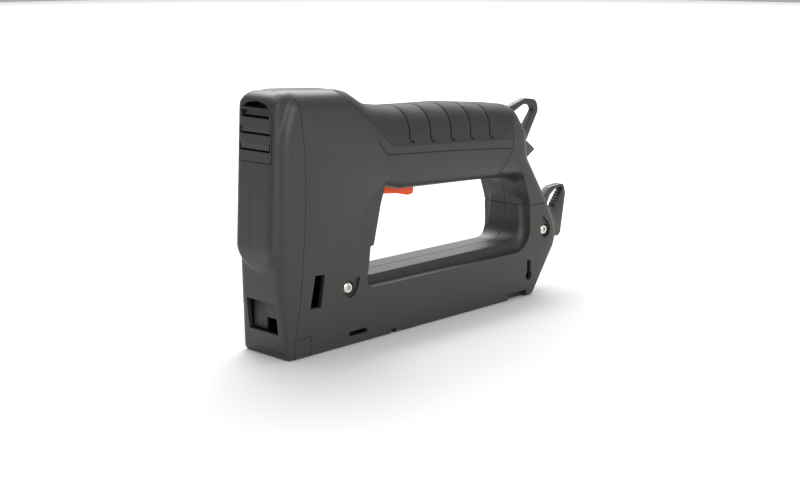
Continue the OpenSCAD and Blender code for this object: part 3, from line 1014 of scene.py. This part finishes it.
@dataclass
class Shells:
    """Right and left halves of the housing."""

    shop: Workshop
    seam_gap: float = 0.14
    screws: tuple[tuple[float, float], ...] = ((43.2, 31.0), (208.2, 38.6))
    head_bore: float = 3.7
    head_depth: float = 3.4
    line: float = 0.34

    def build(self) -> None:
        """Model both halves and let them ride on the housing."""
        form = self.shop.form
        half = form.solid(0.0, "right_shell", halved=True)
        take(half, form.opening(0.0))
        carve(half, form.seam_tool(self.seam_gap, front=False), Way.KEEP)
        pocket = form.grip_tool(0.12)
        carve(pocket, form.solid(form.grip + 0.05, "under_grip"), Way.TAKE)
        take(half, pocket)
        take(half, form.hollow())
        take(half, slab((-5.0, 230.0), (-8.4, 8.4), (-3.0, 15.8)))
        take(half, slab((67.0, 105.5), (-6.4, 6.4), (70.5, 88.5)))
        take(half, slab((207.1, 250.0), (-3.0, 3.0), (26.0, 60.0)))
        self._cut_lines(half)
        left = mirrored(half, "left_shell")
        self._cut_right_side(half)
        take(left, prism(disc(198.5, 66.0, 4.1), Axis.Y, 5.0, 19.0))
        self.shop.settle(half, Slot.SHELL, "housing", "shell_right")
        self.shop.settle(left, Slot.SHELL, "housing", "shell_left")

    def _cut_lines(self, half: bpy.types.Object) -> None:
        """Cut the parting lines of the handle and the strut.

        Args:
            half: The half of the housing at negative y.
        """
        handle = curve_through([(64.6, 107.5), (67.4, 103.0), (70.8, 99.6), (74.5, 98.6), (100.0, 97.2),
                                (140.0, 94.8), (175.9, 92.0)])
        end = curve_through([(176.4, 99.0), (176.3, 96.6), (175.4, 91.9), (171.0, 85.6), (165.6, 79.6),
                             (163.0, 74.0)])
        strut = [(186.0, 55.6), (220.0, 55.6)]
        past = self.shop.form.half + 2.0
        for path in (handle, end):
            take(half, prism(ribbon(path, self.line), Axis.Y, -past, -past + 5.0))
        take(half, prism(ribbon(strut, self.line), Axis.Y, -past, 1.0))

    def _cut_right_side(self, half: bpy.types.Object) -> None:
        """Cut the slots, the keyhole and the screw pockets of the right side.

        Args:
            half: The half of the housing at negative y.
        """
        side = -self.shop.form.half
        deep = (side - 2.0, side + 4.0)
        take(half, prism([(15.0, 25.0), (22.5, 24.6), (25.3, 41.4), (18.8, 42.0)], Axis.Y, *deep))
        take(half, prism(disc(192.6, 12.6, 2.7), Axis.Y, *deep))
        take(half, slab((190.9, 194.3), deep, (12.6, 22.0)))
        foot_line = [(5.0, 9.6), (7.6, 9.9), (15.7, 11.1), (15.3, 8.0), (14.4, -1.0)]
        take(half, prism(ribbon(foot_line, self.line), Axis.Y, side - 2.0, side + 0.3))
        take(half, slab((42.4, 55.5), deep, (4.9, 7.5)))
        take(half, slab((73.6, 77.5), deep, (-1.0, 2.6)))
        take(half, slab((173.5, 190.5), deep, (-1.0, 4.2)))
        shallow = (side - 2.0, side + 1.3)
        pockets = (
            [(39.2, 34.8), (38.6, 30.0), (40.4, 26.8), (43.6, 25.8), (46.8, 27.0), (49.0, 30.4),
             (50.4, 36.2), (44.0, 35.8)],
            [(203.6, 37.0), (205.6, 34.4), (208.8, 33.8), (211.8, 35.4), (212.8, 38.6),
             (211.2, 43.0), (206.0, 47.6), (204.0, 42.6)])
        for (x, z), pocket in zip(self.screws, pockets):
            take(half, prism(pocket, Axis.Y, *shallow))
            take(half, prism(disc(x, z, self.head_bore), Axis.Y, side - 2.0, side + self.head_depth))


@dataclass
class FrontCover:
    """Front cover with its raised pad, and the vent insert that sits in it."""

    shop: Workshop
    seam_gap: float = 0.14
    pad_half: float = 14.8
    pad_low: float = 44.6
    pad_top: float = 136.2
    pad_round: float = 3.6
    voxel: float = 0.62
    line: float = 0.45
    face: tuple[tuple[float, float], ...] = (
        (-4.0, 40.0), (-5.0, 46.0), (-7.1, 56.0), (-8.1, 70.0), (-8.3, 83.0), (-7.8, 100.0), (-6.8, 114.0),
        (-5.2, 124.0), (-3.4, 130.0), (-0.4, 134.5), (4.0, 138.0))
    window: tuple[float, float, float] = (11.4, 13.0, 29.5)
    vent_half: float = 12.8
    vent_low: float = 101.0
    vent_top: float = 131.6
    slot_pitch: float = 8.3
    slot_height: float = 4.0
    slot_depth: float = 2.4
    slot_slope: float = 0.6
    slots: int = 3
    first_slot: float = 5.6
    vent_rim: float = 1.1
    vent_gap: float = 0.35
    slit: float = 1.0
    end_slit: float = 0.9
    slit_inset: float = 0.3
    smoothed_back: float = 0.8

    def build(self) -> None:
        """Model the cover and the vent insert."""
        blank = self._blank()
        cover = copy_of(blank, "nose_cover")
        carve(cover, self.shop.form.seam_tool(self.seam_gap, front=True), Way.KEEP)
        take(cover, self.shop.form.whole(self.shop.form.wall, "hollow"))
        half, low, top = self.window
        take(cover, slab((-20.0, 3.2), (-half, half), (low, top)))
        take(cover, prism(self._vent_outline(0.0), Axis.X, -20.0, 20.0))
        take(cover, slab((6.0, 14.0), (-8.0, 8.0), (-1.0, 5.0)))
        lip = curve_through([(-1.7, 3.3), (-8.0, 3.7), (-12.4, 3.7), (-14.6, 2.4), (-15.6, -1.0)])
        take(cover, prism(ribbon(lip, self.line), Axis.X, -20.0, 0.25))
        vent = self._vent(blank)
        self.shop.settle(cover, Slot.SHELL, "housing", "front_cover", smooth=38.0)
        self.shop.settle(vent, Slot.SHELL, "housing", "vent_insert")

    def _face_at(self, height: float) -> float:
        """Place of the pad's face along x at a height."""
        points = curve_through(self.face, 4)
        for (x0, z0), (x1, z1) in pairwise(points):
            if z0 <= height <= z1:
                return x0 + (x1 - x0) * (height - z0) / max(z1 - z0, 1e-6)
        return points[0][0] if height < points[0][1] else points[-1][0]

    def _blank(self) -> bpy.types.Object:
        """Nose of the body joined with the pad and blended."""
        form = self.shop.form
        blank = form.solid(0.0, "nose_blank")
        carve(blank, slab((-40.0, 27.0), (-40.0, 40.0), (-10.0, 150.0)), Way.KEEP)
        pad = Outline((
            Corner(-self.pad_half, self.pad_low, 13.0), Corner(self.pad_half, self.pad_low, 13.0),
            Corner(self.pad_half, self.pad_top, 6.5), Corner(-self.pad_half, self.pad_top, 6.5)), 9)
        rings = [[Vector((12.0, bead.place.x, bead.place.y)) for bead in pad.beads()]]
        turns = [math.pi / 2 * step / 5 for step in range(6)]
        insets = [(self.pad_round * (1 - math.cos(turn)), self.pad_round * (1 - math.sin(turn)))
                  for turn in turns]
        insets += [(6.0, 0.0), (9.0, 0.0), (12.0, 0.0)]
        for inset, back in insets:
            ring = []
            for bead in pad.beads():
                flat = bead.place + bead.inward * inset
                ring.append(Vector((self._face_at(flat.y) + back, flat.x, flat.y)))
            rings.append(ring)
        carve(blank, loft(rings, "pad"), Way.JOIN)
        finish_with(blank, "REMESH", mode="VOXEL", voxel_size=self.voxel)
        finish_with(blank, "SMOOTH", factor=0.5, iterations=8)
        return blank

    def _vent_outline(self, gap: float) -> list[tuple[float, float]]:
        """Front outline of the vent, an arch over square sides.

        Args:
            gap: How far the outline is drawn in.

        Returns:
            The points as pairs of y and z.
        """
        outline = Outline((
            Corner(-self.vent_half, self.vent_low, 1.6), Corner(self.vent_half, self.vent_low, 1.6),
            Corner(self.vent_half, self.vent_top - 6.4, 6.0), Corner(8.0, self.vent_top - 1.2, 6.0),
            Corner(0.0, self.vent_top, 14.0),
            Corner(-8.0, self.vent_top - 1.2, 6.0), Corner(-self.vent_half, self.vent_top - 6.4, 6.0)), 5)
        return [tuple(bead.place) for bead in outline.inset(gap).beads()]

    def _vent(self, blank: bpy.types.Object) -> bpy.types.Object:
        """Vent insert with louvred slots.

        Args:
            blank: The blended nose, used up here.

        Returns:
            The insert.
        """
        vent = blank
        vent.name = vent.data.name = "nose_vent"
        carve(vent, prism(self._vent_outline(self.vent_gap), Axis.X, -20.0, 4.6), Way.KEEP)
        reach = self.vent_half - self.vent_rim
        top = 0.0
        for place in range(self.slots):
            low = self.vent_low + self.first_slot + place * self.slot_pitch
            wide = reach if place < self.slots - 1 else reach - self.slit
            top = low + self.slot_height
            face = self._face_at(low) + self.smoothed_back
            face_top = self._face_at(top) + self.smoothed_back
            pocket = [(face - 6.0, low), (face + self.slot_depth, low),
                      (face_top + self.slot_depth - self.slot_slope, top), (face_top - 6.0, top)]
            take(vent, prism(pocket, Axis.Y, -wide, wide))
            inner = wide - self.slit_inset
            take(vent, slab((face - 2.0, 12.0), (-inner, inner), (low, low + self.slit)))
            for way in (-1, 1):
                edges = sorted((way * wide, way * (wide - self.end_slit)))
                take(vent, slab((face - 2.0, 12.0), tuple(edges), (low, top)))
        take(vent, slab((-20.0, 3.6), (-20.0, 20.0), (top + self.slit, 140.0)))
        return vent


@dataclass
class Grip:
    """Soft ribbed grip over the handle."""

    shop: Workshop
    groove_depth: float = 1.0
    groove_width: float = 1.0
    first: float = 88.2
    pitch: float = 16.5
    grooves: int = 5
    foot: float = 103.6
    fall: float = 0.95

    def build(self) -> None:
        """Model the grip and let it ride on the housing."""
        form = self.shop.form
        grip = form.solid(0.0, "ribbed_grip")
        carve(grip, form.grip_tool(-0.1), Way.KEEP)
        take(grip, form.solid(form.grip, "under_grip"))
        cutter = self._grooves()
        carve(cutter, form.solid(self.groove_depth, "groove_floor"), Way.TAKE)
        take(grip, cutter)
        soften(grip, 0.35, 2, 50.0)
        clean(grip)
        self.shop.settle(grip, Slot.GRIP, "housing", "grip_cover")

    def _grooves(self) -> bpy.types.Object:
        """Tool solid of all the grooves, each hooked rearwards at its foot."""
        first = None
        for place in range(self.grooves):
            x = self.first + place * self.pitch
            foot = self.foot - place * self.fall
            path = curve_through([(x - 0.6, 128.0), (x - 0.2, 116.0), (x + 0.2, foot + 3.4),
                                  (x + 1.2, foot + 0.9), (x + 3.6, foot)], 4)
            groove = prism(ribbon(path, self.groove_width), Axis.Y, -22.0, 22.0, "grooves")
            if first is None:
                first = groove
            else:
                carve(first, groove, Way.JOIN)
        return first


@dataclass
class RearFittings:
    """Hanging loop, staple lifter and magazine latch at the tail."""

    shop: Workshop
    loop_half: float = 2.2
    latch_half: float = 2.5
    lifter_half: float = 3.6
    teeth: int = 6

    def build(self) -> None:
        """Model the three fittings."""
        self._loop()
        self._lifter()
        self._latch()

    def _loop(self) -> None:
        """Model the hanging loop."""
        outer = Outline((
            Corner(186.0, 94.0, 1.0), Corner(203.0, 90.0, 3.0), Corner(208.0, 92.2, 3.0),
            Corner(219.2, 110.0, 5.0), Corner(217.2, 116.8, 5.0), Corner(206.6, 118.2, 8.0),
            Corner(191.0, 113.9, 6.0), Corner(184.0, 110.0, 1.0)), 5)
        hole = Outline((
            Corner(198.6, 98.4, 1.5), Corner(203.0, 97.0, 1.5), Corner(214.8, 110.8, 3.0),
            Corner(212.6, 113.4, 3.0), Corner(205.4, 114.8, 5.0), Corner(194.6, 110.2, 2.5)), 5)
        loop = prism([tuple(bead.place) for bead in outer.beads()], Axis.Y,
                     -self.loop_half, self.loop_half, "hanging_loop")
        take(loop, prism([tuple(bead.place) for bead in hole.beads()], Axis.Y, -9.0, 9.0))
        carve(loop, self.shop.form.solid(0.05, "body_tool"), Way.TAKE)
        soften(loop, 0.7, 3)
        self.shop.settle(loop, Slot.SHELL, "housing", "hang_loop")

    def _lifter(self) -> None:
        """Model the pointed staple lifter."""
        half = self.lifter_half
        base = [(189.0, -half, 76.0), (189.0, half, 76.0), (189.0, half, 94.0), (189.0, -half, 94.0)]
        neck = [(203.4, -half, 80.0), (203.4, half, 80.0), (206.4, half, 92.4), (206.4, -half, 92.4)]
        tip = [(217.8, -0.5, 85.3), (217.8, 0.5, 85.3), (218.2, 0.5, 86.0), (218.2, -0.5, 86.0)]
        lifter = loft([[Vector(point) for point in ring] for ring in (base, neck, tip)], "lifter")
        carve(lifter, self.shop.form.solid(0.05, "body_tool"), Way.TAKE)
        soften(lifter, 0.25, 2, 20.0)
        self.shop.settle(lifter, Slot.SHELL, "housing", "staple_lifter", smooth=20.0)

    def _latch(self) -> None:
        """Model the magazine latch with its serrated finger hole."""
        outer = Outline((
            Corner(213.7, 28.2, 2.0), Corner(241.4, 28.2, 1.2), Corner(243.4, 30.0, 1.2),
            Corner(247.85, 55.0, 3.0), Corner(245.6, 61.3, 2.8), Corner(232.6, 60.6, 6.0),
            Corner(220.4, 51.4, 3.0), Corner(213.7, 40.0, 3.0)))
        latch = prism([tuple(bead.place) for bead in outer.beads()], Axis.Y,
                      -self.latch_half, self.latch_half, "tail_latch")
        teeth: list[tuple[float, float]] = []
        for place in range(self.teeth):
            share = place / self.teeth
            x, z = 237.4 + 8.0 * share, 48.4 + 9.4 * share
            teeth += [(x, z), (x + 0.1, z + 1.3)]
        hole = [(228.8, 49.6), (232.6, 46.6), (236.4, 46.6), *teeth, (245.0, 58.4), (243.2, 59.6),
                (237.6, 59.0), (232.0, 55.6)]
        take(latch, prism(hole, Axis.Y, -9.0, 9.0))
        take(latch, prism(disc(219.5, 36.0, 1.56), Axis.Y, -9.0, 9.0))
        soften(latch, 0.5, 2)
        self.shop.settle(latch, Slot.SHELL, "latch", "magazine_latch")


@dataclass
class TriggerPiece:
    """Orange trigger under the handle."""

    shop: Workshop
    half: float = 6.0

    def build(self) -> None:
        """Model the trigger and let it ride on its own body."""
        outline = Outline((
            Corner(68.2, 79.6, 1.0), Corner(76.0, 75.6, 4.0), Corner(90.0, 74.4, 20.0),
            Corner(99.8, 72.2, 3.0), Corner(103.9, 72.6, 1.8), Corner(104.0, 79.0, 2.0),
            Corner(101.0, 81.8, 1.0), Corner(75.0, 85.4, 2.0), Corner(68.2, 85.4, 2.0)))
        trigger = prism([tuple(bead.place) for bead in outline.beads()], Axis.Y,
                        -self.half, self.half, "finger_trigger")
        take(trigger, prism(disc(71.0, 82.5, 1.56), Axis.Y, -9.0, 9.0))
        soften(trigger, 1.0, 3)
        self.shop.settle(trigger, Slot.TRIGGER, "trigger", "trigger")


@dataclass
class HousingScrews:
    """The two screws that clamp the shells."""

    shop: Workshop
    places: tuple[tuple[float, float], ...] = ((43.2, 31.0), (208.2, 38.6))
    head: float = 3.3
    thickness: float = 2.2
    shank: float = 1.5
    socket: float = 1.5
    sink: float = 1.1

    def build(self) -> None:
        """Model the two screws and join them."""
        face = -self.shop.form.half + self.sink
        profile = [(self.head, face + self.thickness), (self.head, face + 1.1),
                   (self.head * 0.93, face + 0.45), (self.head * 0.72, face), (0.0, face)]
        pieces = []
        for x, z in self.places:
            rings = [[Vector((a, y, b)) for a, b in disc(x, z, max(radius, 0.02))]
                     for radius, y in reversed(profile)]
            rings.append([Vector((a, face + self.thickness, b)) for a, b in disc(x, z, self.shank)])
            rings.append([Vector((a, 11.0, b)) for a, b in disc(x, z, self.shank)])
            screw = loft(rings, "shell_screw_pair")
            take(screw, prism(disc(x, z, self.socket, 6), Axis.Y, face - 2.0, face + 1.5))
            pieces.append(screw)
        carve(pieces[0], pieces[1], Way.JOIN)
        self.shop.settle(pieces[0], Slot.BRIGHT, "housing", "shell_screws")


@dataclass
class Shutter:
    """Sliding shutter behind the window in the nose."""

    shop: Workshop
    half: float = 11.1
    low: float = 13.5
    top: float = 34.5
    front: float = 1.8
    thickness: float = 1.8
    notch: tuple[float, float] = (1.0, 20.2)

    def build(self) -> None:
        """Model the shutter with its finger notch and step."""
        back = self.front + self.thickness
        side, notch = self.notch
        outline = [(side, self.low), (self.half, self.low), (self.half, self.top),
                   (-self.half, self.top), (-self.half, notch), (side, notch)]
        shutter = prism(outline, Axis.X, self.front, back, "window_shutter")
        take(shutter, slab((self.front - 1.0, self.front + 0.35), (side - 1.0, 10.2), (10.0, 22.4)))
        soften(shutter, 0.25, 2)
        self.shop.settle(shutter, Slot.SHELL, "shutter", "jam_shutter")


@dataclass
class Innards:
    """Nodes carried over from the frame, each with its slot's finish."""

    shop: Workshop

    def dress(self) -> None:
        """Give every node that still shows the finish of its slot in the record."""
        slots = {row["node"]: row["material_slot"] for row in self.shop.frame["record"]["subparts"]}
        for name, node in sorted(self.shop.frame["nodes"].items()):
            if not node.hide_render:
                slot = Slot(slots[name])
                self.shop.finishes.dress(node, slot)
                log.info("%s: kept from the frame in %s", name, slot.value)


# ---------------------------------------------------------------- studio


@dataclass
class Studio:
    """Camera, floor and soft lights."""

    eye: tuple[float, float, float] = (-0.5412, -0.5058, 0.1978)
    azimuth: float = -45.8
    elevation: float = 11.17
    lens: float = 59.4
    shift: float = -0.03125
    surround: float = 0.4

    def build(self) -> None:
        """Set up the camera, the floor, the world and the lights."""
        self._camera()
        self._floor()
        self._world()
        middle = (0.0, 0.0, 0.06)
        self._light("overhead", (0.1, 0.25, 1.1), middle, 1.2, 8.5)
        self._light("front", (-0.3, -1.3, 0.6), middle, 0.8, 8.5)
        self._light("backdrop", (2.4, 2.4, 2.4), (2.6, 2.6, 0.0), 3.6, 260.0)

    def _camera(self) -> None:
        """Place the camera."""
        data = bpy.data.cameras.new("camera")
        data.lens = self.lens
        data.sensor_width = 36.0
        data.shift_y = self.shift
        camera = bpy.data.objects.new("camera", data)
        bpy.context.scene.collection.objects.link(camera)
        turn, rise = math.radians(self.azimuth), math.radians(self.elevation)
        back = Vector((math.sin(turn) * math.cos(rise), -math.cos(turn) * math.cos(rise), math.sin(rise)))
        camera.rotation_mode = "QUATERNION"
        camera.rotation_quaternion = (-back).to_track_quat("-Z", "Y")
        camera.location = self.eye
        bpy.context.scene.camera = camera

    def _floor(self) -> None:
        """Lay a pale floor."""
        bpy.ops.object.select_all(action="DESELECT")
        bpy.ops.mesh.primitive_plane_add(size=12.0, location=(0.0, 0.0, 0.0))
        floor = bpy.context.object
        floor.name = "floor"
        paint = Paint("floor_paper")
        cloud = paint.noise(3.0, 2.0)
        shade = paint.blend(cloud, (0.78, 0.78, 0.78, 1.0), (0.82, 0.82, 0.82, 1.0))
        floor.data.materials.append(paint.surface(shade, 0.85 + 0.05 * cloud))
        floor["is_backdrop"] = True

    def _world(self) -> None:
        """Fill the surroundings with an even pale light."""
        world = bpy.data.worlds.new("studio")
        world.use_nodes = True
        background = world.node_tree.nodes["Background"]
        background.inputs[0].default_value = (1.0, 1.0, 1.0, 1.0)
        background.inputs[1].default_value = self.surround
        bpy.context.scene.world = world
        bpy.context.scene.view_settings.view_transform = "Standard"

    def _light(self, name: str, place: tuple[float, float, float], aim: tuple[float, float, float],
               size: float, power: float) -> None:
        """Add a soft square light.

        Args:
            name: The light's name.
            place: Where it stands, in metres.
            aim: The point that it faces.
            size: The length of its sides.
            power: Its power in watts.
        """
        data = bpy.data.lights.new(name, "AREA")
        data.size = size
        data.energy = power
        light = bpy.data.objects.new(name, data)
        bpy.context.scene.collection.objects.link(light)
        light.location = place
        light.rotation_mode = "QUATERNION"
        light.rotation_quaternion = (Vector(aim) - Vector(place)).to_track_quat("-Z", "Y")


def main() -> None:
    """Build the sub-assemblies in order."""
    logging.basicConfig(level=logging.INFO, format="%(name)s %(message)s")
    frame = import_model()
    cad_low, cad_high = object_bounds()
    shop = Workshop(frame, FinishBook(), cad_low.x + PAD_OUT, BodyForm())
    Studio().build()
    for assembly in (Shells, FrontCover, Grip, RearFittings, TriggerPiece, HousingScrews, Shutter):
        assembly(shop).build()
    Innards(shop).dress()


if __name__ == "__main__":
    main()
